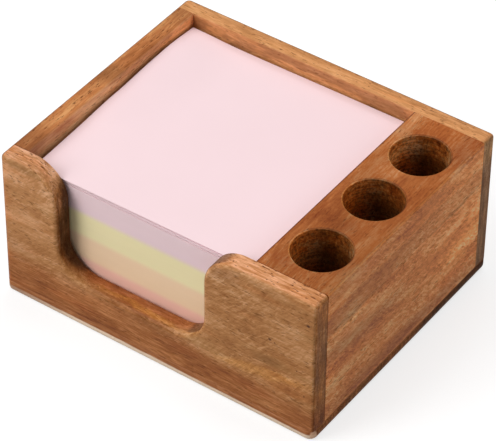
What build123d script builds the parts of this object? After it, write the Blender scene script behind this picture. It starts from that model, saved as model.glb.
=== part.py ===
from build123d import *
import os

# A hardwood desk box: a square tray for loose note paper, open at the front in a thumb notch,
# with a solid block beside it that is bored for pens.
# Millimetres. The origin is the middle of the underside, +Z is up, +X is the pen side and -Y
# the notched front.

# Note paper
sheet_size = 90.0          # standard square sheet
left_gap = 1.4             # sheet to the left wall
right_gap = 0.45           # sheet to the pen block
end_gap = 0.85             # sheet to the front panel, and sheet to the back panel
pad_colours = ("blue", "coral", "peach", "yellow", "pink")    # from the bottom up
pad_sheets = (85, 100, 100, 100, 100)                         # sheets left of each colour
pile_drop = 7.3            # rim down to the top of the squared pile
loose_thickness = 0.9      # the few sheets that have lifted off the pile
leaf_thickness = 0.3       # the top sheet
leaf_gap = 0.3             # air under each lifted layer

# Curl of the lifted sheets, which rise along their left edge
curl_width = 26.0
curl_stations = ((0.0, 0.1), (0.3, 0.5), (0.73, 1.7), (1.0, 0.7))    # place from front to back, rise

# Boards and block
holder_height = 60.5
base_thickness = 5.0
front_thickness = 7.0
back_thickness = 6.5
wall_thickness = 7.0       # left
block_width = 27.8

# Thumb notch in the front panel
notch_width = 59.6
notch_floor = 19.5         # above the desk
notch_corner_radius = 12.2
shoulder_radius = 13.0

# Pen bores, drilled through the block and closed below by the base board
bore_radius = 10.2
bore_setbacks = (16.3, 46.5, 73.8)    # front end of the block to each bore axis
bore_mouth_chamfer = 0.4

# Dowels that join the panels to the wall and to the block
dowel_radius = 1.5
dowel_reach = 6.5          # into the wall or the block
dowel_cover = 2.7          # wood left between a dowel hole and the panel's outer face
dowel_inset = 14.0         # dowel axis to the top and to the bottom of the walls
dowel_side_margin = 4.75   # dowel axis to the side of the block
dowel_play = 0.05          # glue film round a dowel
dowel_end_play = 0.3       # glue room past its ends
dowel_chamfer = 0.3

# Eased edges
left_corner_round = 2.0
right_corner_round = 1.0
rim_round = 1.6            # outer edge of the rim, and front edge of the notch
block_rim_round = 0.8
inner_rim_round = 0.8      # tray side of the left wall
seam_ease = 0.2            # chamfer on arrises that meet a neighbour
base_corner_round = 3.0    # right-hand corners, seen from above
base_round = 2.0           # lower edge, all round

# Worked out from the sizes above
tray_width = left_gap + sheet_size + right_gap
tray_depth = sheet_size + 2 * end_gap
holder_width = wall_thickness + tray_width + block_width
holder_depth = front_thickness + tray_depth + back_thickness
wall_height = holder_height - base_thickness
left = -holder_width / 2
right = holder_width / 2
front = -holder_depth / 2
back = holder_depth / 2
tray_left = left + wall_thickness
tray_right = tray_left + tray_width
tray_front = front + front_thickness
tray_back = back - back_thickness
tray_x = (tray_left + tray_right) / 2
block_x = (tray_right + right) / 2
sheet_left = tray_left + left_gap
sheet_right = sheet_left + sheet_size
sheet_front = tray_front + end_gap
sheet_back = sheet_front + sheet_size
pile_top = holder_height - pile_drop
sheet_pitch = (pile_top - base_thickness) / sum(pad_sheets)
TOUCH = 1e-4


def box_between(low, high):
    size = [b - a for a, b in zip(low, high)]
    return Pos(*low) * Box(*size, align=(Align.MIN, Align.MIN, Align.MIN))


def lies_at(edge, axis, value):
    """True if the whole edge lies at this value of X, Y or Z."""
    box = edge.bounding_box()
    return max(abs(getattr(box.min, axis) - value), abs(getattr(box.max, axis) - value)) < TOUCH


def edges_at(part, **places):
    chosen = part.edges()
    for axis, value in places.items():
        chosen = chosen.filter_by(lambda edge: lies_at(edge, axis, value))
    return chosen


def panel_outline(notched):
    """The panel seen from the front, with its foot on the base board."""
    outline = Pos(0, base_thickness) * Rectangle(holder_width, wall_height, align=(Align.CENTER, Align.MIN))
    if not notched:
        return outline
    depth = holder_height - notch_floor
    outline -= Pos(tray_x, notch_floor) * Rectangle(notch_width, depth, align=(Align.CENTER, Align.MIN))
    near_notch = outline.vertices().filter_by(lambda v: abs(abs(v.X - tray_x) - notch_width / 2) < TOUCH)
    outline = fillet(near_notch.filter_by(lambda v: v.Y < holder_height - TOUCH), notch_corner_radius)
    near_notch = outline.vertices().filter_by(lambda v: abs(abs(v.X - tray_x) - notch_width / 2) < TOUCH)
    return fillet(near_notch.filter_by(lambda v: v.Y > holder_height - TOUCH), shoulder_radius)


def panel(thickness, notched):
    """An end panel as it stands at the front: full width, rounded where hands meet it."""
    inner_y = front + thickness
    face = Plane.XZ.offset(-inner_y) * panel_outline(notched)
    board = extrude(face, thickness)
    for x, radius in ((left, left_corner_round), (right, right_corner_round)):
        board = fillet(edges_at(board, X=x, Y=front), radius)

    def is_notch(edge):
        box = edge.bounding_box()
        inside = abs(edge.center().X - tray_x) < notch_width / 2 + shoulder_radius
        return inside and box.max.Z > base_thickness + TOUCH

    rim = edges_at(board, Z=holder_height).filter_by(lambda e: not lies_at(e, "Y", inner_y))
    notch_front = edges_at(board, Y=front).filter_by(is_notch)
    board = fillet(ShapeList(set(rim) | set(notch_front)), rim_round)
    inner = edges_at(board, Y=inner_y).filter_by(lambda e: e.bounding_box().max.Z > base_thickness + TOUCH)
    inner = inner.filter_by(lambda e: not lies_at(e, "X", left) and not lies_at(e, "X", right))
    return chamfer(inner, seam_ease)


def dowel_places():
    """X and Z of each dowel axis at one end of the box: a low and a high one in the wall and in the block.

    In the block the two pass on either side of the pen bore.
    """
    low, high = base_thickness + dowel_inset, holder_height - dowel_inset
    in_wall = left + wall_thickness / 2
    return [(in_wall, low), (in_wall, high),
            (right - dowel_side_margin, low), (tray_right + dowel_side_margin, high)]


def dowel_rods(thickness, radius, growth=0.0):
    """The rods through a panel at the front joint, each longer at both ends by the growth."""
    outer_end = front + dowel_cover + dowel_end_play - growth
    inner_end = front + thickness + dowel_reach + growth
    rod = Cylinder(radius, inner_end - outer_end, align=(Align.CENTER, Align.CENTER, Align.MIN))
    return [Pos(x, outer_end, z) * Rot(-90, 0, 0) * rod for x, z in dowel_places()]


def dowel_holes():
    radius = dowel_radius + dowel_play
    front_holes = dowel_rods(front_thickness, radius, dowel_end_play)
    back_holes = dowel_rods(back_thickness, radius, dowel_end_play)
    return front_holes + [mirror(hole, about=Plane.XZ) for hole in back_holes]


def drill(part):
    """Cut the dowel holes that reach into this piece."""
    box = part.bounding_box()
    for hole in dowel_holes():
        place = hole.bounding_box()
        apart = (place.min.X > box.max.X or place.max.X < box.min.X
                 or place.min.Y > box.max.Y or place.max.Y < box.min.Y)
        if not apart:
            part -= hole
    return part


def dowels(thickness):
    rods = dowel_rods(thickness, dowel_radius)
    return Compound(children=[chamfer(rod.edges().filter_by(GeomType.CIRCLE), dowel_chamfer) for rod in rods])


def left_wall():
    wall = box_between((left, tray_front, base_thickness), (tray_left, tray_back, holder_height))
    wall = fillet(edges_at(wall, X=left, Z=holder_height), rim_round)
    return fillet(edges_at(wall, X=tray_left, Z=holder_height), inner_rim_round)


def bore_places():
    return [(block_x, tray_front + setback) for setback in bore_setbacks]


def pen_block():
    block = box_between((tray_right, tray_front, base_thickness), (right, tray_back, holder_height))
    block = fillet(edges_at(block, X=right, Z=holder_height), block_rim_round)
    block = chamfer(edges_at(block, X=tray_right, Z=holder_height), seam_ease)
    drill_bit = Cylinder(bore_radius, wall_height, align=(Align.CENTER, Align.CENTER, Align.MAX))
    for x, y in bore_places():
        block -= Pos(x, y, holder_height) * drill_bit
    mouths = edges_at(block, Z=holder_height).filter_by(GeomType.CIRCLE)
    return chamfer(mouths, bore_mouth_chamfer)


def base_board():
    board = box_between((left, front, 0), (right, back, base_thickness))
    for x, radius in ((left, left_corner_round), (right, base_corner_round)):
        board = fillet(edges_at(board, X=x).filter_by(Axis.Z), radius)
    return fillet(edges_at(board, Z=0), base_round)


def pad(level):
    low, high = (base_thickness + sheet_pitch * sum(pad_sheets[:count]) for count in (level, level + 1))
    return box_between((sheet_left, sheet_front, low), (sheet_right, sheet_back, high))


def curled_layer(bottom, thickness):
    """Lifted sheets: flat on the right, rising along the left edge by a different amount at each station."""
    bend = sheet_left + curl_width
    sections = []
    for place, rise in curl_stations:
        y = sheet_front + place * sheet_size
        low = [(sheet_right, 0), (bend, 0), ((bend + sheet_left) / 2, 0), (sheet_left, rise)]
        high = [(x, z + thickness) for x, z in low]
        rim = [Line(low[0], low[1]), Bezier(*low[1:]), Line(low[3], high[3]),
               Bezier(*reversed(high[1:])), Line(high[1], high[0]), Line(high[0], low[0])]
        sections.append(Pos(0, y, bottom) * Rot(90, 0, 0) * make_face(rim))
    return loft(sections)


nodes = {
    "base_board": base_board(),
    "front_panel": drill(panel(front_thickness, notched=True)),
    "back_panel": drill(mirror(panel(back_thickness, notched=False), about=Plane.XZ)),
    "left_wall": drill(left_wall()),
    "pen_block": drill(pen_block()),
    "front_dowels": dowels(front_thickness),
    "back_dowels": mirror(dowels(back_thickness), about=Plane.XZ),
}
for level, colour in enumerate(pad_colours):
    nodes[f"{colour}_pad"] = pad(level)
nodes["loose_sheets"] = curled_layer(pile_top + leaf_gap, loose_thickness)
nodes["top_sheet"] = curled_layer(pile_top + leaf_gap + loose_thickness + leaf_gap, leaf_thickness)

os.makedirs("parts", exist_ok=True)
for name, shape in nodes.items():
    export_step(shape, f"parts/{name}.step")

print(f"box {holder_width:.2f} x {holder_depth:.2f} x {holder_height:.2f} mm")
print(f"tray {tray_width:.2f} x {tray_depth:.2f} mm, sheets {sheet_pitch:.4f} mm apart")
print(f"wood beside a bore {block_width / 2 - bore_radius:.2f} mm")
print("bore centres", [(round(x, 2), round(y, 2)) for x, y in bore_places()])
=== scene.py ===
import math

import bpy
from mathutils import Euler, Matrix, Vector


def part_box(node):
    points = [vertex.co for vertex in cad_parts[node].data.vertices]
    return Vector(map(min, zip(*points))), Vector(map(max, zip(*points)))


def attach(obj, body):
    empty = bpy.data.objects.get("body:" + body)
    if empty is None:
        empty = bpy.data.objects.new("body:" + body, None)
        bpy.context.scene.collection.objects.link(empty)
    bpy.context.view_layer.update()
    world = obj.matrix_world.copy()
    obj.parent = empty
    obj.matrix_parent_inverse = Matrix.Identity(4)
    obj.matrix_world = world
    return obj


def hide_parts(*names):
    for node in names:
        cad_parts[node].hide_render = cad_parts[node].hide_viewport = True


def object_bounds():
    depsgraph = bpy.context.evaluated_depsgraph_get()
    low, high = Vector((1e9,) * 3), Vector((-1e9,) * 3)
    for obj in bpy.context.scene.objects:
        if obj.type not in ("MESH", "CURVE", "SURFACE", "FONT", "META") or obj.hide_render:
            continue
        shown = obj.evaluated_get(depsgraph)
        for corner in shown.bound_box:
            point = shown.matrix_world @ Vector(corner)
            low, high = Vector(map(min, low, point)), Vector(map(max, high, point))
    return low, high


# A hardwood note box with a bored pen block, filled with pastel paper. The boards are the frame's
# own solids with wood finishes. Modelled here are the paper, sheet by sheet, and a base board
# with one corner squared up. Lengths are in millimetres, and times MM they are in metres.

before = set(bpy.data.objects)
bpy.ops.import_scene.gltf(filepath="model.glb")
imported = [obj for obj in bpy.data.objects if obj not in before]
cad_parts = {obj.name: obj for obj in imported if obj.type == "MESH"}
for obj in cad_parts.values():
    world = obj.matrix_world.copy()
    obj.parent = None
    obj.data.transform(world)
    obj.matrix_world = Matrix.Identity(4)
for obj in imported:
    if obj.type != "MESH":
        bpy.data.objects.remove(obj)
cad_low, cad_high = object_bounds()

MM = 0.001


# Camera, at the photograph's place

SENSOR_WIDTH = 36.0
FOCAL_LENGTH = 219.33
CAMERA_PLACE = (0.44016, -0.62747, 0.70409)    # metres
CAMERA_YAW = math.radians(35.037)
CAMERA_TILT = math.radians(90 - 41.481)
CAMERA_ROLL = math.radians(0.548)


def make_camera():
    data = bpy.data.cameras.new("camera")
    data.sensor_width = SENSOR_WIDTH
    data.lens = FOCAL_LENGTH
    data.clip_start = 0.05
    data.clip_end = 20
    camera = bpy.data.objects.new("camera", data)
    bpy.context.scene.collection.objects.link(camera)
    yaw = Euler((0, 0, CAMERA_YAW)).to_matrix()
    tilt = Euler((CAMERA_TILT, 0, 0)).to_matrix()
    roll = Euler((0, 0, CAMERA_ROLL)).to_matrix()
    camera.rotation_euler = (yaw @ tilt @ roll).to_euler()
    camera.location = CAMERA_PLACE
    bpy.context.scene.camera = camera


# Node helpers

def put(tree, kind, inputs=None, **settings):
    """Add a node. Each input is a socket to link or a plain value."""
    node = tree.nodes.new(kind)
    for key, value in settings.items():
        setattr(node, key, value)
    for key, value in (inputs or {}).items():
        if isinstance(value, bpy.types.NodeSocket):
            tree.links.new(value, node.inputs[key])
        else:
            node.inputs[key].default_value = value
    return node


def maths(tree, operation, first, second=0.0, third=0.0):
    node = put(tree, "ShaderNodeMath", {0: first, 1: second, 2: third}, operation=operation)
    return node.outputs[0]


def combine(tree, operation, values):
    """Several values taken together, one after the other."""
    total, *others = values
    for other in others:
        total = maths(tree, operation, total, other)
    return total


def product(tree, *values):
    return combine(tree, "MULTIPLY", values)


def vector_maths(tree, operation, first, second=(0, 0, 0)):
    node = put(tree, "ShaderNodeVectorMath", {0: first, 1: second}, operation=operation)
    return node.outputs["Value" if operation in ("DOT_PRODUCT", "LENGTH") else "Vector"]


def axes(tree, vector):
    return put(tree, "ShaderNodeSeparateXYZ", {"Vector": vector}).outputs


def fade(tree, value, start, end, low=0.0, high=1.0):
    """A smooth step from low to high as the value goes from start to end."""
    inputs = {"Value": value, "From Min": start, "From Max": end, "To Min": low, "To Max": high}
    node = put(tree, "ShaderNodeMapRange", inputs, interpolation_type="SMOOTHSTEP")
    return node.outputs["Result"]


def mix(tree, share, first, second, blend="MIX"):
    """Two colours mixed."""
    inputs = {0: share, 6: first, 7: second}
    return put(tree, "ShaderNodeMix", inputs, data_type="RGBA", blend_type=blend).outputs[2]


def mix_values(tree, share, first, second):
    return put(tree, "ShaderNodeMix", {0: share, 2: first, 3: second}).outputs[0]


def tint(tree, mask, colour, factors):
    """The colour multiplied by the factors where the mask is 1."""
    return mix(tree, mask, colour, (*factors, 1.0), "MULTIPLY")


def noise(tree, vector, stretch, detail=2.0, roughness=0.5, distortion=0.0):
    """Noise with this many waves per millimetre along each axis."""
    inputs = {"Vector": vector_maths(tree, "MULTIPLY", vector, stretch), "Scale": 1.0,
              "Detail": detail, "Roughness": roughness, "Distortion": distortion}
    return put(tree, "ShaderNodeTexNoise", inputs)


def wander(tree, noise_colour, reach):
    """An offset that drifts to and fro with a noise, by up to about half the reach each way."""
    offset = vector_maths(tree, "SUBTRACT", noise_colour, (0.5, 0.5, 0.5))
    return vector_maths(tree, "MULTIPLY", offset, reach)


def centred(tree, value, share=1.0):
    """A value round 0.5 moved to lie round 0, and scaled."""
    return maths(tree, "MULTIPLY", maths(tree, "SUBTRACT", value, 0.5), share)


def srgb(red, green, blue):
    """A colour as a screen shows it, from 0 to 255, in linear values."""
    def linear(c):
        c /= 255
        return c / 12.92 if c <= 0.04045 else ((c + 0.055) / 1.055) ** 2.4
    return (linear(red), linear(green), linear(blue), 1.0)


def millimetres(tree):
    """Where a point is on the object, in millimetres."""
    place = put(tree, "ShaderNodeTexCoord").outputs["Object"]
    return vector_maths(tree, "MULTIPLY", place, (1000, 1000, 1000))


def surface_normal(tree):
    return put(tree, "ShaderNodeTexCoord").outputs["Normal"]


def add_bump(tree, shader, strength, distance, height):
    inputs = {"Strength": strength, "Distance": distance, "Height": height}
    bump = put(tree, "ShaderNodeBump", inputs)
    tree.links.new(bump.outputs["Normal"], shader.inputs["Normal"])


def new_material(name):
    material = bpy.data.materials.new(name)
    material.use_nodes = True
    tree = material.node_tree
    return material, tree, tree.nodes["Principled BSDF"]


def new_group(name, inputs, outputs):
    tree = bpy.data.node_groups.new(name, "ShaderNodeTree")
    for label, kind in inputs:
        tree.interface.new_socket(name=label, in_out="INPUT", socket_type=kind)
    for label in outputs:
        tree.interface.new_socket(name=label, in_out="OUTPUT", socket_type="NodeSocketFloat")
    given = tree.nodes.new("NodeGroupInput").outputs
    return tree, given, tree.nodes.new("NodeGroupOutput").inputs


def give_out(tree, out, results):
    for label, socket in results.items():
        tree.links.new(socket, out[label])


# Wood, as node groups that all boards share

def make_figure_group():
    """The figure of a board, right through its thickness. Place has the grain along X."""
    tree, given, out = new_group(
        "wood_figure",
        [("Place", "NodeSocketVector"), ("Pith", "NodeSocketVector"),
         ("Ring Width", "NodeSocketFloat"), ("Fleck Slant", "NodeSocketFloat"),
         ("Fleck Length", "NodeSocketFloat"), ("Straight", "NodeSocketFloat"),
         ("Rings", "NodeSocketFloat"), ("Figure", "NodeSocketFloat"),
         ("Mottle", "NodeSocketFloat")],
        ["Tone", "Pores", "Relief", "Warmth"])
    place = given["Place"]

    # the grain wanders a little as it runs along the board
    drift = noise(tree, place, (0.010, 0.03, 0.03), 2.0).outputs["Color"]
    grain = vector_maths(tree, "ADD", place, wander(tree, drift, (0, 12, 12)))

    # growth rings are shells round the pith, none as wide or as dark as the next
    from_pith = vector_maths(tree, "SUBTRACT", grain, given["Pith"])
    radius = vector_maths(tree, "LENGTH", vector_maths(tree, "MULTIPLY", from_pith, (0, 1, 1)))
    years = maths(tree, "DIVIDE", radius, given["Ring Width"])
    ring_noise = {"W": years, "Scale": 1.0, "Detail": 4.0, "Roughness": 0.65}
    rings = put(tree, "ShaderNodeTexNoise", ring_noise, noise_dimensions="1D").outputs["Fac"]

    # straight fibres, and the short slanted flecks of interlocked grain, which come in ribbons
    fibres = noise(tree, grain, (0.13, 1.3, 1.3), 4.0, 0.68).outputs["Fac"]
    turn = put(tree, "ShaderNodeCombineXYZ", {"Y": given["Fleck Slant"]}).outputs["Vector"]
    slanted = put(tree, "ShaderNodeVectorRotate", {"Vector": grain, "Rotation": turn},
                  rotation_type="EULER_XYZ").outputs["Vector"]
    lengthwise = maths(tree, "DIVIDE", 1.0, given["Fleck Length"])
    stretch = put(tree, "ShaderNodeCombineXYZ", {"X": lengthwise, "Y": 1.0, "Z": 1.0})
    flecks = noise(tree, slanted, stretch.outputs["Vector"], 4.0, 0.66, 0.7).outputs["Fac"]
    ribbons = noise(tree, grain, (0.04, 0.11, 0.11), 1.0).outputs["Fac"]
    ribbons = fade(tree, ribbons, 0.38, 0.62, 0.7, 1.15)
    flecks = maths(tree, "MULTIPLY_ADD", maths(tree, "SUBTRACT", flecks, 0.5), ribbons, 0.5)
    texture = product(tree, flecks, maths(tree, "SUBTRACT", 1.0, given["Straight"]))
    texture = maths(tree, "MULTIPLY_ADD", fibres, given["Straight"], texture)

    mottle = noise(tree, place, (0.03, 0.09, 0.09), 3.0, 0.6, 0.5).outputs["Fac"]
    warmth = noise(tree, place, (0.02, 0.12, 0.12), 3.0, 0.6).outputs["Color"]
    warmth = put(tree, "ShaderNodeSeparateColor", {"Color": warmth}).outputs["Green"]

    tone = product(tree, centred(tree, rings), given["Rings"])
    tone = maths(tree, "MULTIPLY_ADD", centred(tree, texture), given["Figure"], tone)
    tone = maths(tree, "MULTIPLY_ADD", centred(tree, mottle), given["Mottle"], tone)
    tone = maths(tree, "ADD", tone, 0.5)

    # open pores, which crowd where the rings are dark
    pore_noise = noise(tree, grain, (0.42, 2.2, 2.2), 1.0).outputs["Fac"]
    crowding = fade(tree, rings, 0.35, 0.65, 0.66, 0.58)
    pores = fade(tree, maths(tree, "SUBTRACT", pore_noise, crowding), 0.0, 0.10)
    relief = maths(tree, "MULTIPLY_ADD", pores, -1.5, texture)

    give_out(tree, out, {"Tone": tone, "Pores": pores, "Relief": relief, "Warmth": warmth})
    return tree


def make_mark_group():
    """1 within the core of an ellipsoid round a place on a board, fading to 0 at its skin."""
    tree, given, out = new_group(
        "board_mark",
        [("Place", "NodeSocketVector"), ("Centre", "NodeSocketVector"),
         ("Radii", "NodeSocketVector"), ("Tilt", "NodeSocketVector"), ("Core", "NodeSocketFloat")],
        ["Mask"])
    inputs = {"Vector": given["Place"], "Location": given["Centre"],
              "Rotation": given["Tilt"], "Scale": given["Radii"]}
    mapping = put(tree, "ShaderNodeMapping", inputs, vector_type="TEXTURE")
    distance = vector_maths(tree, "LENGTH", mapping.outputs["Vector"])
    give_out(tree, out, {"Mask": fade(tree, distance, 1.0, given["Core"])})
    return tree


def make_faces_group():
    """Which way a surface faces: end grain, upwards, or round an arris on its far or near side."""
    tree, given, out = new_group(
        "board_faces", [("Normal", "NodeSocketVector"), ("Along", "NodeSocketVector")],
        ["End", "Up", "Far Arris", "Near Arris"])
    normal = given["Normal"]
    end = maths(tree, "ABSOLUTE", vector_maths(tree, "DOT_PRODUCT", normal, given["Along"]))
    upwards = vector_maths(tree, "DOT_PRODUCT", normal, (0, 0, 1))
    sides = axes(tree, vector_maths(tree, "ABSOLUTE", normal))
    flatness = combine(tree, "MAXIMUM", (sides["X"], sides["Y"], sides["Z"]))
    arris = fade(tree, flatness, 0.985, 0.90)
    to_far_side = vector_maths(tree, "DOT_PRODUCT", normal, (-0.7, 0.7, 0))
    give_out(tree, out, {
        "End": fade(tree, end, 0.6, 0.95),
        "Up": fade(tree, upwards, 0.6, 0.95),
        "Far Arris": product(tree, arris, fade(tree, to_far_side, 0.15, 0.35)),
        "Near Arris": product(tree, arris, fade(tree, to_far_side, -0.1, -0.3))})
    return tree


def patch(tree, mark_group, place, centre, radii, core=0.3, tilt=(0, 0, 0)):
    inputs = {"Place": place, "Centre": centre, "Radii": radii, "Core": core,
              "Tilt": [math.radians(angle) for angle in tilt]}
    return put(tree, "ShaderNodeGroup", inputs, node_tree=mark_group).outputs["Mask"]


def add_marks(tree, mark_group, place, colour, marks):
    for centre, radii, core, factors, *tilt in marks:
        mask = patch(tree, mark_group, place, centre, radii, core, *tilt)
        colour = tint(tree, mask, colour, factors)
    return colour


# One board's wood

DARKEST, LIGHTEST = 5, 250    # limits of a board's tones, as a screen shows them
STRAIGHTEST = 0.9             # share of straight fibres where the flecks give way
RIM_LEVELS = (40, 45)         # what faces up above this height is the rim
PORE_SHARE = 0.5              # how far a pore's own colour shows


def tones(tree, tone, middle, spread):
    """From a board's darkest colour through its middle one to its lightest."""
    ramp = put(tree, "ShaderNodeValToRGB", {"Fac": tone})
    stops = ramp.color_ramp.elements
    stops[0].color = srgb(*(max(DARKEST, m - s) for m, s in zip(middle, spread)))
    stops[1].color = srgb(*(min(LIGHTEST, m + s) for m, s in zip(middle, spread)))
    stops.new(0.5).color = srgb(*middle)
    return ramp.outputs["Color"]


def streak_end_grain(tree, metric, on_end, colour):
    """Dark and pale streaks down a panel's end."""
    streaks = noise(tree, metric, (1.0, 0.7, 0.09), 4.0, 0.65, 0.4).outputs["Fac"]
    for start, end, factors in ((0.46, 0.62, (0.62, 0.60, 0.60)), (0.46, 0.32, (1.5, 1.5, 1.6))):
        mask = product(tree, on_end, fade(tree, streaks, start, end))
        colour = tint(tree, mask, colour, factors)
    return colour


def make_wood(name, groups, grain, shift, pith, ring_width, middle, spread, pore, end, shares,
              up=(1, 1, 1), slant=0.0, fleck_length=2.5, straight=0.5, straight_below=-9,
              straight_rim=0.9, up_pores=0.0, far_arris=(0.44, 0.41, 0.39),
              near_arris=(1.0, 1.0, 1.0), marks=(), crisp_marks=(), calm=None, extra=None):
    """An oiled board's material. The list above the boards says what each value is."""
    material, tree, shader = new_material(name)
    metric = millimetres(tree)
    turn = 0.0 if grain == "X" else math.radians(-90)
    log_place = put(tree, "ShaderNodeMapping",
                    {"Vector": metric, "Location": shift, "Rotation": (0, 0, turn)})
    ragged = noise(tree, metric, (0.06, 0.06, 0.14), 3.0, 0.6).outputs["Color"]
    ragged = vector_maths(tree, "ADD", metric, wander(tree, ragged, (9, 9, 6)))

    along = (1, 0, 0) if grain == "X" else (0, 1, 0)
    facing = put(tree, "ShaderNodeGroup", {"Normal": surface_normal(tree), "Along": along},
                 node_tree=groups["faces"]).outputs
    level = axes(tree, ragged)["Z"]
    on_rim = product(tree, facing["Up"], fade(tree, level, *RIM_LEVELS))

    rings, texture, mottle = shares
    if calm:
        centre, radii, share = calm
        mask = patch(tree, groups["mark"], metric, centre, radii)
        texture = fade(tree, mask, 0, 1, texture, texture * share)
    low_down = fade(tree, level, straight_below + 2, straight_below - 2, straight, STRAIGHTEST)
    straightness = maths(tree, "MAXIMUM", low_down, product(tree, on_rim, straight_rim))
    inputs = {"Place": log_place.outputs["Vector"], "Pith": pith, "Ring Width": ring_width,
              "Fleck Slant": math.radians(slant), "Fleck Length": fleck_length,
              "Straight": straightness, "Rings": rings, "Figure": texture, "Mottle": mottle}
    figure = put(tree, "ShaderNodeGroup", inputs, node_tree=groups["figure"]).outputs

    colour = tones(tree, figure["Tone"], middle, spread)
    for start, stop, factors in ((0.56, 0.70, (1.02, 0.92, 0.82)),
                                 (0.44, 0.30, (0.98, 1.04, 1.06))):
        colour = tint(tree, fade(tree, figure["Warmth"], start, stop), colour, factors)
    colour = add_marks(tree, groups["mark"], ragged, colour, marks)
    colour = add_marks(tree, groups["mark"], metric, colour, crisp_marks)
    pore_share = maths(tree, "MULTIPLY_ADD", on_rim, up_pores, PORE_SHARE)
    colour = mix(tree, product(tree, figure["Pores"], pore_share), colour, srgb(*pore))
    # tints of the end grain and the rim, then painted shade on the far arrises and painted light on
    # the near ones
    for mask, factors in ((facing["End"], end), (on_rim, up),
                          (facing["Far Arris"], far_arris), (facing["Near Arris"], near_arris)):
        colour = tint(tree, mask, colour, factors)
    if grain == "X":
        colour = streak_end_grain(tree, metric, facing["End"], colour)

    height = figure["Relief"]
    dull = facing["End"]
    if extra:
        colour, height, torn = extra(tree, groups["mark"], metric, colour, height)
        dull = maths(tree, "MAXIMUM", dull, torn)
    tree.links.new(colour, shader.inputs["Base Color"])
    roughness = maths(tree, "MULTIPLY_ADD", figure["Relief"], -0.2, 0.64)
    tree.links.new(roughness, shader.inputs["Roughness"])
    add_bump(tree, shader, 0.5, 0.12 * MM, height)
    gloss = maths(tree, "MULTIPLY_ADD", dull, -0.15, 0.22)
    tree.links.new(gloss, shader.inputs["Specular IOR Level"])
    return material


# What only one board has. Each returns the colour, the height and where the wood is torn.

BORE_PLACES = ((49.425, -29.3), (49.425, 0.9), (49.425, 28.2))
BORE_RADIUS = 10.2
TO_FRONT = (-0.024, -0.095, 0)    # these two are 1 long at a bore's wall
TO_LEFT = (-0.098, 0, 0)
SPLINTER = srgb(190, 140, 100)


def bored(tree, mark_group, metric, colour, height):
    """Torn wood on the walls of the pen bores under painted shade, and crisp mouths with a painted
    highlight and painted shade.
    """
    distances, frontward, leftward = [], [], []
    for x, y in BORE_PLACES:
        offset = vector_maths(tree, "SUBTRACT", metric, (x, y, 0))
        offset = vector_maths(tree, "MULTIPLY", offset, (1, 1, 0))
        distance = vector_maths(tree, "LENGTH", offset)
        distances.append(distance)
        at_bore = fade(tree, distance, BORE_RADIUS + 2.1, BORE_RADIUS + 2.0)
        for direction, found in ((TO_FRONT, frontward), (TO_LEFT, leftward)):
            share = vector_maths(tree, "DOT_PRODUCT", offset, direction)
            found.append(product(tree, share, at_bore))
    nearest = combine(tree, "MINIMUM", distances)
    towards_front = combine(tree, "ADD", frontward)
    towards_left = combine(tree, "ADD", leftward)

    wall = fade(tree, nearest, BORE_RADIUS + 0.3, BORE_RADIUS + 0.1)
    level = axes(tree, metric)["Z"]
    torn = noise(tree, metric, (0.9, 0.9, 0.7), 4.0, 0.7).outputs["Fac"]
    scores = noise(tree, metric, (0.10, 0.10, 1.3), 3.0, 0.6).outputs["Fac"]
    rough = maths(tree, "ADD", torn, product(tree, scores, 0.6))

    # painted shade: it darkens downwards, except on the left wall, which has painted light, and the
    # right wall is painted in shade
    at_left = fade(tree, towards_left, 0.30, 1.0)
    at_right = fade(tree, towards_left, -0.3, -0.9)
    depth = maths(tree, "ADD", fade(tree, level, 49, 59, 0.38, 0.86),
                  fade(tree, level, 50, 42, 0.0, 0.20))
    depth = mix_values(tree, at_left, depth, fade(tree, level, 48, 58, 1.05, 0.85))
    shade = product(tree, fade(tree, rough, 0.55, 1.0, 0.3, 1.2), depth,
                    fade(tree, at_right, 0, 1, 1.0, 0.68))
    shade = put(tree, "ShaderNodeCombineColor", {"Red": shade, "Green": shade, "Blue": shade})
    # the painted light on the left wall is warm, and the painted shade elsewhere is cool
    hue = mix(tree, at_left, (0.98, 1.15, 1.35, 1), (1.05, 0.78, 0.50, 1))
    shade = mix(tree, 1.0, shade.outputs["Color"], hue, "MULTIPLY")
    colour = mix(tree, wall, colour, mix(tree, 1.0, colour, shade, "MULTIPLY"))

    # light splinters of torn wood, fainter where the right wall has painted shade
    splinters = product(tree, fade(tree, torn, 0.60, 0.72, 0.0, 0.5), wall,
                        fade(tree, level, 50, 60), fade(tree, at_right, 0, 1, 1.0, 0.5))
    colour = mix(tree, splinters, colour, SPLINTER)

    # the mouth's rim has a painted highlight on its front side and painted shade on its rear side
    mouth = product(tree, fade(tree, nearest, BORE_RADIUS + 0.75, BORE_RADIUS + 0.45),
                    fade(tree, level, 59.9, 60.05))
    for start, end, factors in ((0.15, 0.8, (1.1, 1.25, 1.4)), (0.1, -0.5, (0.5, 0.45, 0.4))):
        side = fade(tree, towards_front, start, end)
        colour = tint(tree, product(tree, mouth, side), colour, factors)
    height = maths(tree, "MULTIPLY_ADD", product(tree, rough, wall), 4.0, height)
    return colour, height, wall


def sapwood(tree, mark_group, metric, colour, height):
    """A pale strip of sapwood along the base board's front edge and round its right corner."""
    place = axes(tree, metric)
    wave = noise(tree, metric, (0.04, 0.04, 0.2), 3.0, 0.6).outputs["Fac"]
    level = maths(tree, "ADD", place["Z"], centred(tree, wave, 1.6))
    strip = product(tree, fade(tree, level, 3.2, 2.5), fade(tree, place["Y"], -49.5, -51.0),
                    fade(tree, place["X"], -60, -30, 0.3, 1.0))
    colour = mix(tree, strip, colour, srgb(246, 218, 190))
    corner = patch(tree, mark_group, metric, (62.8, -51.2, 2.4), (1.4, 1.6, 2.8), 0.6)
    colour = mix(tree, product(tree, corner, 0.8), colour, srgb(244, 196, 160))
    return colour, height, 0.0
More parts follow.
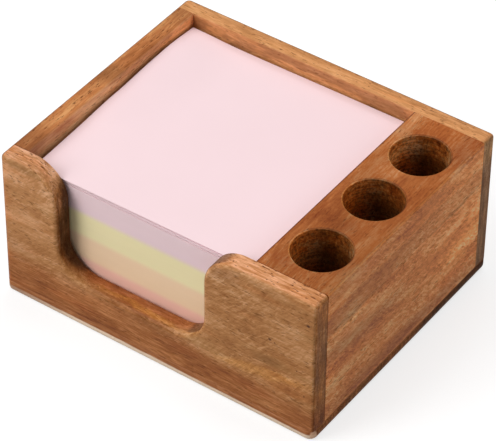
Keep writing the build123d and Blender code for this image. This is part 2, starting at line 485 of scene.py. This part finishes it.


# The boards. Places are in millimetres on the box, angles in degrees, and colours as a screen
# shows them. A tint multiplies the colour that it lies on.
#   grain                   the axis that the fibres follow
#   shift, pith             the board's place in its log, and where the log's pith runs
#   slant, fleck_length     of the short flecks
#   straight                share of straight fibres among the flecks; straight_below is the
#                           height under which they rule, and straight_rim their share on the rim
#   middle, spread          the middle tone, and how far the darkest and the lightest lie from it
#   pore, up_pores          the pores' colour, and how much stronger they show on the rim
#   end, up                 tints of the end grain and of the rim
#   far_arris, near_arris   painted shade on arrises turned from the light, painted light on those turned to it
#   shares                  how strongly the rings, the fibres and the mottle show
#   marks                   tinted patches with a ragged outline, each (centre, radii, core, tint)
#                           and a tilt if it has one
#   crisp_marks             the same with an even outline
#   calm                    (centre, radii, share): round that place the fibres are fainter
#   extra                   the function for what only this board has

ALL_OVER = 400    # radius of a patch that reaches past the board

KNOTS = ((60.6, 51.1, 1.0), (46.0, 37.3, 0.9), (47.9, 36.8, 0.5), (56.6, 29.2, 0.5),
         (59.6, 19.4, 0.5))    # place and size on the front panel

FRONT_PANEL = dict(
    grain="X", shift=(12, 40, 7), pith=(0, 60, -75), ring_width=5, slant=42, fleck_length=4.0,
    straight=0.42, straight_below=15, middle=(184, 126, 73), spread=(58, 62, 68),
    pore=(96, 54, 26), up_pores=1.0, end=(0.75, 0.65, 0.55), up=(1.23, 1.16, 1.30),
    shares=(0.4, 1.7, 1.0), calm=((-66, -52.6, 40), (36, 8, 40), 0.62),
    marks=[
        # the darker wood below the notch
        ((0, -49, 2), (ALL_OVER, ALL_OVER, 19), 0.55, (0.75, 0.555, 0.38), (0, 2.6, 0)),
        ((-60, -54, 25), (16, 4.0, 6.0), 0.3, (0.88, 0.85, 0.84)),
        ((-58, -54, 12.5), (12, 4.0, 5.5), 0.3, (1.10, 1.16, 1.22)),
        ((-18, -54, 16), (26, 3.5, 5.5), 0.4, (0.96, 0.88, 0.76)),
        ((14, -54, 15), (14, 4.0, 4.5), 0.4, (0.93, 0.84, 0.76)),
        ((36, -54, 13), (30, 3.5, 5.0), 0.3, (0.96, 0.88, 0.80)),
        # the pale left end, and the figure on the right
        ((-63, -49, 60), (52, ALL_OVER, 50), 0.1, (1.20, 1.24, 1.40)),
        ((43, -49, 21.2), (25, ALL_OVER, 3.0), 0.4, (1.28, 1.32, 1.18), (0, -9.5, 0)),
        ((46, -49, 28), (9, ALL_OVER, 3.0), 0.2, (0.82, 0.82, 0.80), (0, -8, 0)),
        ((27, -49, 55.5), (10, ALL_OVER, 4.5), 0.2, (0.86, 0.88, 0.94)),
        ((-67, -49, 30), (8, ALL_OVER, 90), 0.5, (1.0, 0.88, 0.78)),
        ((52, -53, 25), (15, 4, 17), 0.3, (0.93, 0.88, 0.80)),
        # the notch's floor and golden streak, with painted shade where it meets the paper, on its
        # front arris, and on its left wall and corner
        ((-10, -47, 20.5), (32, 7.0, 5.0), 0.6, (0.84, 0.63, 0.54)),
        ((-10, -45.6, 20), (30, 2.2, 3), 0.3, (0.62, 0.55, 0.50)),
        ((-8, -50.0, 19.3), (24, 1.9, 2.4), 0.3, (1.32, 1.56, 1.24)),
        ((-10, -52.4, 18.2), (34, 2.6, 3.2), 0.4, (0.79, 0.70, 0.58)),
        ((-52, -49, 61), (22, ALL_OVER, 4.5), 0.4, (0.80, 0.84, 0.84)),
        ((-34, -45, 22), (11, 7.0, 8), 0.5, (0.70, 0.58, 0.42))],
    crisp_marks=[
        # painted shade along the left arris and on the notch's left wall
        ((-63.2, -52.0, 30), (1.3, 2.2, ALL_OVER), 0.4, (0.50, 0.45, 0.40)),
        ((-38.5, -43, 37), (11.5, 9.4, 26), 0.75, (0.33, 0.335, 0.36)),
        # the right end's grain
        ((63.6, -49, 57), (1.0, 7, 12), 0.3, (1.75, 1.85, 2.1)),
        ((63.6, -49, 37), (1.0, 7, 9), 0.3, (0.78, 0.74, 0.70)),
        ((63.6, -49, 15), (1.0, 7, 14), 0.3, (1.12, 1.16, 1.12)),
        *(((x, -52.6, z), (size, 2, size * 0.8), 0.3, (0.28, 0.20, 0.16)) for x, z, size in KNOTS)])

BACK_PANEL = dict(
    grain="X", shift=(300, 80, 20), pith=(0, 200, -60), ring_width=5, slant=-4, fleck_length=3.0,
    straight=0.6, middle=(208, 141, 87), spread=(54, 46, 44), pore=(118, 66, 32), up_pores=0.3,
    end=(0.46, 0.51, 0.61), up=(1.10, 1.16, 1.19), shares=(0.5, 1.3, 0.7),
    marks=[
        ((40, 49, 60), (60, ALL_OVER, ALL_OVER), 0.2, (1.06, 1.07, 1.10)),
        # the inner face over the paper
        ((30, 46, 57), (20, 2.2, 4.2), 0.3, (0.82, 0.80, 0.74)),
        ((-52, 46, 57), (16, 2.2, 4.2), 0.3, (0.84, 0.80, 0.72)),
        ((0, 45, 57), (ALL_OVER, 2.2, 4.2), 0.6, (0.74, 0.72, 0.76)),
        # painted shade along the rim's far side and at its left end
        ((0, 52.4, 60.3), (ALL_OVER, 4.5, 3), 0.4, (0.87, 0.86, 0.85)),
        ((-57, 50, 60.3), (12, 8, 4), 0.4, (0.95, 0.93, 0.90))],
    crisp_marks=[((63.6, 49.5, 58), (1.0, 6, 12), 0.3, (1.75, 1.9, 1.8))])

LEFT_WALL = dict(
    grain="Y", shift=(40, 200, 3), pith=(0, 60, -50), ring_width=5, slant=8, fleck_length=3.5,
    straight=0.6, middle=(217, 148, 97), spread=(58, 52, 50), pore=(110, 60, 30), up_pores=0.3,
    end=(0.42, 0.28, 0.16), up=(0.83, 0.71, 0.55), shares=(0.9, 1.5, 1.3),
    marks=[
        # the rim
        ((-60, -48, 60), (ALL_OVER, 22, ALL_OVER), 0.2, (0.62, 0.58, 0.56)),
        ((-60, 3, 61.5), (ALL_OVER, 8, 4), 0.2, (0.72, 0.76, 0.78)),
        ((-60, 47, 61.5), (ALL_OVER, 12, 4), 0.2, (0.78, 0.78, 0.78)),
        # the inner face over the paper
        ((-56.3, 40, 57.5), (2.2, 20, 4), 0.4, (1.60, 1.62, 1.52)),
        ((-56.3, -28, 57.5), (2.2, 9, 4), 0.3, (0.74, 0.62, 0.56)),
        ((-56.3, 2, 57.5), (2.2, 9, 4), 0.3, (1.10, 1.04, 0.98)),
        ((-60, 15, 61), (3.2, 52, 3), 0.4, (0.86, 0.82, 0.78))])

PEN_BLOCK = dict(
    grain="Y", shift=(90, 11, 5), pith=(0, -10, -120), ring_width=7, slant=-34, fleck_length=2.6,
    straight=0.35, straight_rim=0.6, middle=(218, 131, 60), spread=(62, 66, 76),
    pore=(108, 58, 30), end=(0.42, 0.28, 0.16), up=(0.51, 0.43, 0.385), shares=(0.4, 2.1, 1.35),
    far_arris=(0.5, 0.45, 0.4), near_arris=(0.95, 1.0, 1.08),
    calm=((50, 0, 63), (40, 90, 6), 0.66), extra=bored,
    marks=[
        # bands and streaks along the right side
        ((60, 0, 46.5), (ALL_OVER, ALL_OVER, 4.8), 0.75, (0.84, 0.84, 0.84), (0.6, 0, 0)),
        ((60, 30, 42.6), (ALL_OVER, 24, 1.2), 0.2, (0.76, 0.74, 0.72), (1.0, 0, 0)),
        ((60, -28, 42.0), (ALL_OVER, 26, 1.4), 0.2, (0.80, 0.78, 0.76), (0.6, 0, 0)),
        ((60, -32, 40.0), (ALL_OVER, 20, 1.2), 0.2, (1.22, 1.25, 1.28), (0.6, 0, 0)),
        ((60, -26, 30.5), (ALL_OVER, 34, 5.5), 0.3, (0.76, 0.74, 0.70), (-4, 0, 0)),
        ((60, 44, 24), (ALL_OVER, 46, 18), 0.2, (1.30, 1.36, 1.50)),
        ((60, -4, 6), (ALL_OVER, 60, 9), 0.3, (0.72, 0.68, 0.66)),
        ((60, 60, 48), (ALL_OVER, 80, 34), 0.1, (1.38, 1.46, 1.66)),
        ((65, -40, 30), (5, 30, ALL_OVER), 0.4, (0.95, 0.93, 0.90)),
        ((64, -45, 23), (ALL_OVER, 8, 6), 0.2, (1.22, 1.25, 1.3)),
        ((64, -44, 53), (ALL_OVER, 18, 4), 0.2, (1.15, 1.16, 1.18)),
        ((63.3, 0, 5.4), (4, ALL_OVER, 0.8), 0.3, (1.25, 1.35, 1.5)),
        # the top
        ((36.5, 0, 60.5), (3.4, ALL_OVER, 3), 0.3, (1.16, 1.20, 1.30)),
        ((50, 46, 60.5), (ALL_OVER, 12, 3), 0.3, (1.12, 1.14, 1.12)),
        ((50, 15, 60.5), (9, 6, 3), 0.2, (1.26, 1.48, 1.96)),
        ((47, -14, 60.5), (10, 7, 3), 0.2, (0.80, 0.71, 0.64)),
        ((42, -41, 60.5), (6, 5, 3), 0.2, (0.90, 0.80, 0.76)),
        ((37.5, -20, 60.5), (5.2, 36, 4), 0.4, (1.16, 1.30, 1.65)),
        ((50, 44, 60.5), (ALL_OVER, 16, 3), 0.4, (0.88, 0.82, 0.78)),
        ((61, 43, 60.5), (8, 20, 3), 0.4, (0.80, 0.72, 0.68)),
        ((61, -32, 60.5), (6, 9, 3), 0.3, (0.88, 0.79, 0.73)),
        # more of the right side
        ((65, 36, 25), (5, 24, 9), 0.3, (1.13, 1.23, 1.34)),
        ((65, -30, 36), (5, 16, 4), 0.3, (0.98, 0.88, 0.80)),
        ((65, -26, 57), (5, 22, 4), 0.3, (0.95, 0.87, 0.84))],
    crisp_marks=[
        # a dark line along the left arris, and painted shade on the face under it
        ((35.5, 0, 60.5), (0.75, ALL_OVER, 1.0), 0.3, (0.35, 0.28, 0.25)),
        ((35.5, 0, 56), (0.4, ALL_OVER, 4.4), 0.6, (0.66, 0.70, 0.86))])

BASE_BOARD = dict(
    grain="X", shift=(500, 20, 60), pith=(0, 20, -30), ring_width=4, slant=5, straight=0.9,
    middle=(162, 100, 55), spread=(56, 54, 50), pore=(88, 50, 26), end=(0.80, 0.80, 0.78),
    shares=(0.5, 1.3, 0.6), extra=sapwood,
    marks=[
        ((63, 34, 2), (6, 34, 8), 0.5, (0.36, 0.34, 0.32)),
        ((63, -20, 2), (5, 26, 8), 0.5, (0.74, 0.70, 0.66))])

DOWELS = dict(
    grain="Y", shift=(0, 7, 9), pith=(0, 50, 0), ring_width=2, middle=(210, 178, 134),
    spread=(30, 30, 30), pore=(170, 134, 92), end=(0.7, 0.66, 0.6), shares=(0.6, 0.8, 0.2))

FINISHES = {
    "front_panel": FRONT_PANEL, "back_panel": BACK_PANEL, "left_wall": LEFT_WALL,
    "pen_block": PEN_BLOCK, "base_board": BASE_BOARD, "front_dowels": DOWELS,
    "back_dowels": DOWELS}


# Mesh helpers

def select_only(*pieces):
    """Select these, and make the first one active."""
    bpy.ops.object.select_all(action="DESELECT")
    for piece in pieces:
        piece.select_set(True)
    bpy.context.view_layer.objects.active = pieces[0]


def select_vertices(piece, wanted):
    """Leave the active piece in edit mode, with only those vertices selected that are wanted."""
    bpy.ops.object.mode_set(mode="EDIT")
    bpy.ops.mesh.select_all(action="DESELECT")
    bpy.ops.object.mode_set(mode="OBJECT")
    for vertex in piece.data.vertices:
        vertex.select = wanted(vertex.co)
    bpy.ops.object.mode_set(mode="EDIT")


def settle(piece):
    """Move the object's place, turn and size into its mesh."""
    select_only(piece)
    bpy.ops.object.transform_apply(location=True, rotation=True, scale=True)


def apply_modifiers(piece):
    select_only(piece)
    for modifier in list(piece.modifiers):
        bpy.ops.object.modifier_apply(modifier=modifier.name)


# Boards

BASE_CORNER = 3.0    # radius of the solid's rear right corner
SQUARENESS = 6       # power of the rounded square that takes its place; 2 would be a circle


def make_base_board():
    """The base board, with its rear right corner as tight as the back panel's above it."""
    board = bpy.data.objects.new("base_board_squared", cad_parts["base_board"].data.copy())
    bpy.context.scene.collection.objects.link(board)
    select_only(board)
    bpy.ops.object.mode_set(mode="EDIT")
    bpy.ops.mesh.select_all(action="SELECT")
    bpy.ops.mesh.remove_doubles(threshold=0.001 * MM)
    bpy.ops.object.mode_set(mode="OBJECT")
    centre = [cad_high[axis] - BASE_CORNER * MM for axis in (0, 1)]
    for vertex in board.data.vertices:
        x, y = (vertex.co[axis] - centre[axis] for axis in (0, 1))
        if x > 0 and y > 0:
            stretch = math.hypot(x, y) / (x ** SQUARENESS + y ** SQUARENESS) ** (1 / SQUARENESS)
            vertex.co.x, vertex.co.y = centre[0] + x * stretch, centre[1] + y * stretch
    bpy.ops.object.shade_smooth_by_angle(angle=math.radians(30))
    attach(board, "tray")
    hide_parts("base_board")
    return board


def dress_boards():
    groups = {"figure": make_figure_group(), "mark": make_mark_group(), "faces": make_faces_group()}
    pieces = dict(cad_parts, base_board=make_base_board())
    for node, finish in FINISHES.items():
        piece = pieces[node]
        piece.data.materials.clear()
        piece.data.materials.append(make_wood(node + "_wood", groups, **finish))


# Paper

PINK, YELLOW, PEACH = (250, 223, 227), (253, 240, 192), (254, 222, 185)
CORAL, BLUE = (255, 204, 185), (176, 206, 228)
PADS = [    # node, body, slot, colour and number of sheets, from the bottom up
    ("blue_pad", "blue_notes", "blue_paper", BLUE, 85),
    ("coral_pad", "coral_notes", "coral_paper", CORAL, 100),
    ("peach_pad", "peach_notes", "peach_paper", PEACH, 100),
    ("yellow_pad", "yellow_notes", "yellow_paper", YELLOW, 100),
    ("pink_pad", "pink_notes", "pink_paper", PINK, 100)]

COLOUR_BLEED = 1.6      # how far from a pad's top and bottom its edges take on the next colour
SHEET_SHARE = 0.88      # of the room that each sheet has in a pad; the rest is air
SHEET_TRIM = 0.3        # off a sheet's sides, which leaves room for the next two
JITTER = 0.10           # strength of the unevenness from sheet to sheet
LEAN = 0.25             # strength of the slower drift up the whole pile

# The topmost sheets of the pile lie back a little, so that what lies on them overhangs
RECESS_DEPTH = 0.45
RECESS_SCALE = 0.991
# painted shade on the cut edges of the sheets that lie back
RECESS_TINT = (0.80, 0.74, 0.78)
RECESS_EDGE = 0.05      # half the height over which the painted shade sets in


def paper_material(name, colour, below=None, above=None, low=0.0, high=0.0, recess=None):
    """Matt note paper. A pad's cut edges pick up the colour of the pads below and above it, and
    those of the sheets from the recess upwards carry painted shade."""
    material, tree, shader = new_material(name)
    metric = millimetres(tree)
    paper = srgb(*colour)
    height = axes(tree, metric)["Z"]
    upright = vector_maths(tree, "DOT_PRODUCT", surface_normal(tree), (0, 0, 1))
    on_edge = fade(tree, maths(tree, "ABSOLUTE", upright), 0.7, 0.3)

    def edge_band(start, end):
        return product(tree, on_edge, fade(tree, height, start, end))

    if below:
        band = edge_band(low + COLOUR_BLEED, low - COLOUR_BLEED)
        paper = mix(tree, band, paper, srgb(*below))
    if above:
        band = edge_band(high - COLOUR_BLEED, high + COLOUR_BLEED)
        paper = mix(tree, band, paper, srgb(*above))
    if recess:
        # painted shade on the cut edges from the recess upwards
        band = edge_band(recess - RECESS_EDGE, recess + RECESS_EDGE)
        paper = tint(tree, band, paper, RECESS_TINT)
    drift = noise(tree, metric, (0.02, 0.02, 0.25), 3.0, 0.6).outputs["Fac"]
    paper = tint(tree, fade(tree, drift, 0.3, 0.7, 0.0, 0.5), paper, (0.97, 0.965, 0.96))
    tree.links.new(paper, shader.inputs["Base Color"])
    pulp = noise(tree, metric, (3.0, 3.0, 3.0), 3.0, 0.7).outputs["Fac"]
    add_bump(tree, shader, 0.15, 0.03 * MM, pulp)
    roughness = maths(tree, "MULTIPLY_ADD", pulp, 0.1, 0.8)
    tree.links.new(roughness, shader.inputs["Roughness"])
    shader.inputs["Specular IOR Level"].default_value = 0.2
    return material


def clouds(name, size):
    texture = bpy.data.textures.new(name, "CLOUDS")
    texture.noise_scale = size
    texture.noise_depth = 2
    return texture


def displace(piece, name, texture, direction, strength):
    modifier = piece.modifiers.new(name, "DISPLACE")
    modifier.texture = texture
    modifier.texture_coords = "LOCAL"
    modifier.direction = direction
    modifier.strength = strength
    modifier.mid_level = 0.5


def draw_in(piece, level, middle):
    """Narrow the sheets above a level a little."""
    select_vertices(piece, lambda place: place.z > level)
    bpy.ops.transform.resize(value=(RECESS_SCALE, RECESS_SCALE, 1), center_override=middle)
    bpy.ops.object.mode_set(mode="OBJECT")


def make_pads():
    jitter = clouds("sheet_jitter", 0.4 * MM)
    lean = clouds("pile_lean", 12 * MM)
    neighbours = [None, *(pad[3] for pad in PADS), None]
    for index, (node, body, slot, colour, sheets) in enumerate(PADS):
        low, high = (Vector(corner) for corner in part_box(node))
        middle = (low + high) / 2
        pitch = (high.z - low.z) / sheets
        thickness = pitch * SHEET_SHARE
        place = (middle.x, middle.y, low.z + thickness / 2)
        bpy.ops.mesh.primitive_cube_add(size=1, location=place)
        piece = bpy.context.object
        piece.name = node + "_sheets"
        trim = SHEET_TRIM * MM
        piece.dimensions = (high.x - low.x - trim, high.y - low.y - trim, thickness)
        settle(piece)
        array = piece.modifiers.new("pile", "ARRAY")
        array.count = sheets
        array.use_relative_offset = False
        array.use_constant_offset = True
        array.constant_offset_displace = (0, 0, pitch)
        apply_modifiers(piece)
        recess = None
        if node == "pink_pad":
            draw_in(piece, high.z - RECESS_DEPTH * MM, middle)
            recess = high.z / MM - RECESS_DEPTH
        displace(piece, "jitter_x", jitter, "X", JITTER * MM)
        displace(piece, "jitter_y", jitter, "Y", JITTER * MM)
        displace(piece, "lean_x", lean, "X", LEAN * MM)
        displace(piece, "lean_y", lean, "Y", LEAN * MM)
        apply_modifiers(piece)
        below, above = neighbours[index], neighbours[index + 2]
        piece.data.materials.append(
            paper_material(slot, colour, below, above, low.z / MM, high.z / MM, recess))
        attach(piece, body)
        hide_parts(node)


# Sheets that have come off the pile. Each is flat on the right, and its left edge curls up.

CURLS = ((0.0, 0.0), (0.30, 0.5), (0.52, 1.2), (0.78, 1.9), (1.0, 0.5))    # place, rise
CURL_REACH = 24             # from the left edge to where the sheet is flat
GRIP = (0.1, 2.1)           # how far off the edge and off the place a vertex is still lifted
SHEET_GRID = 45             # faces along each side
WAVE = 0.22                 # strength of the paper's faint waves
LEAF_THICKNESS = 0.12
LEAVES = 7                  # under the top sheet
LEAF_SPACING = 0.13
FIRST_LEAF = 0.04           # height of the lowest leaf above the solid's underside
TOP_LEAF = 0.10             # and of the top sheet above its solid's
LEAST_CURL = 0.55           # share of the top sheet's rise that the lowest leaf has
RECESSED_LEAVES = 2         # the uppermost ones, which lie back under the top sheet
RECESSED_INSET = 0.5
TOP_TURN = 0.5              # degrees


def lifted_sheet(name, bottom, rise_share, wave, inset=0.0):
    """One such sheet, smaller all round by the inset."""
    low, high = (Vector(corner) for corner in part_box("pink_pad"))
    low, high = low + Vector((inset, inset, 0)), high - Vector((inset, inset, 0))
    size = high.x - low.x
    middle = (low + high) / 2
    bpy.ops.mesh.primitive_grid_add(x_subdivisions=SHEET_GRID, y_subdivisions=SHEET_GRID, size=size,
                                    location=(middle.x, middle.y, bottom))
    sheet = bpy.context.object
    sheet.name = name
    settle(sheet)
    off_edge, off_place = (distance * MM for distance in GRIP)
    for place, rise in CURLS:
        y = low.y + place * size
        select_vertices(sheet, lambda co: co.x < low.x + off_edge and abs(co.y - y) < off_place)
        bpy.ops.transform.translate(
            value=(0, 0, rise * rise_share * MM), use_proportional_edit=True,
            proportional_edit_falloff="SMOOTH", proportional_size=CURL_REACH * MM)
        bpy.ops.object.mode_set(mode="OBJECT")
    displace(sheet, "wave", wave, "Z", WAVE * MM)
    solid = sheet.modifiers.new("sheet", "SOLIDIFY")
    solid.thickness = LEAF_THICKNESS * MM
    solid.offset = 1
    apply_modifiers(sheet)
    return sheet


def make_lifted_sheets():
    wave = clouds("paper_wave", 30 * MM)
    pink = paper_material("pink_paper_lifted", PINK)
    shaded = paper_material("pink_paper_painted_shade", PINK, recess=1.0)    # painted shade on all its cut edges
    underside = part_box("loose_sheets")[0][2]
    leaves = []
    for index in range(LEAVES):
        bottom = underside + (FIRST_LEAF + index * LEAF_SPACING) * MM
        rise_share = LEAST_CURL + (1 - LEAST_CURL) * index / LEAVES
        recessed = index >= LEAVES - RECESSED_LEAVES
        inset = RECESSED_INSET * MM if recessed else 0.0
        leaf = lifted_sheet(f"loose_leaf_{index}", bottom, rise_share, wave, inset)
        leaf.data.materials.append(shaded if recessed else pink)
        leaves.append(leaf)
    select_only(*leaves)
    bpy.ops.object.join()
    pile = bpy.context.object
    pile.name = "loose_leaves"
    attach(pile, "loose_notes")
    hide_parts("loose_sheets")

    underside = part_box("top_sheet")[0][2]
    top = lifted_sheet("top_leaf", underside + TOP_LEAF * MM, 1.0, wave)
    top.rotation_euler.z = math.radians(TOP_TURN)
    settle(top)
    top.data.materials.append(pink)
    bpy.ops.object.shade_smooth_by_angle(angle=math.radians(40))
    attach(top, "top_note")
    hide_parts("top_sheet")


# Floor and light

FLOOR_WIDTH = 8      # metres
FLOOR_GREY = 0.40
FLOOR_GLOW = 0.70    # what is seen of the floor on top of the light that falls on it
WORLD_LIGHT = 0.15
LAMPS = [            # name, place and width in metres, and power in watts
    ("front_left", (-0.823, -1.425, 0.95), 1.0, 13.0),
    ("high_front_left", (-0.827, -0.827, 1.497), 1.2, 15.5),
    ("right_back", (1.491, 0.695, 0.95), 1.0, 7.4),
    ("high_back", (0, 0.65, 1.785), 1.2, 11.4)]


def make_floor():
    """A pale floor that looks brighter than the light that it sends back to the box."""
    bpy.ops.mesh.primitive_plane_add(size=FLOOR_WIDTH)
    floor = bpy.context.object
    floor.name = "floor"
    material, tree, shader = new_material("pale_floor")
    shader.inputs["Base Color"].default_value = (FLOOR_GREY, FLOOR_GREY, FLOOR_GREY, 1)
    shader.inputs["Roughness"].default_value = 0.9
    shader.inputs["Specular IOR Level"].default_value = 0.0
    glow = put(tree, "ShaderNodeEmission", {"Color": (1, 1, 1, 1), "Strength": FLOOR_GLOW})
    lit = put(tree, "ShaderNodeAddShader", {0: shader.outputs[0], 1: glow.outputs[0]})
    path = put(tree, "ShaderNodeLightPath").outputs
    seen = combine(tree, "MAXIMUM", (path["Is Camera Ray"], path["Is Glossy Ray"],
                                     path["Is Transmission Ray"]))
    choice = put(tree, "ShaderNodeMixShader", {0: seen, 1: shader.outputs[0], 2: lit.outputs[0]})
    tree.links.new(choice.outputs[0], tree.nodes["Material Output"].inputs["Surface"])
    floor.data.materials.append(material)


def make_lamp(name, place, size, power):
    """A soft lamp that faces the box."""
    data = bpy.data.lights.new(name, "AREA")
    data.shape = "SQUARE"
    data.size = size
    data.energy = power
    lamp = bpy.data.objects.new(name, data)
    bpy.context.scene.collection.objects.link(lamp)
    lamp.location = place
    lamp.rotation_euler = Vector(place).to_track_quat("Z", "Y").to_euler()


def make_light():
    world = bpy.data.worlds.new("studio")
    bpy.context.scene.world = world
    world.use_nodes = True
    background = world.node_tree.nodes["Background"]
    background.inputs["Color"].default_value = (1, 1, 1, 1)
    background.inputs["Strength"].default_value = WORLD_LIGHT
    for lamp in LAMPS:
        make_lamp(*lamp)


make_camera()
dress_boards()
make_pads()
make_lifted_sheets()
make_floor()
make_light()
bpy.context.scene.view_settings.view_transform = "Standard"
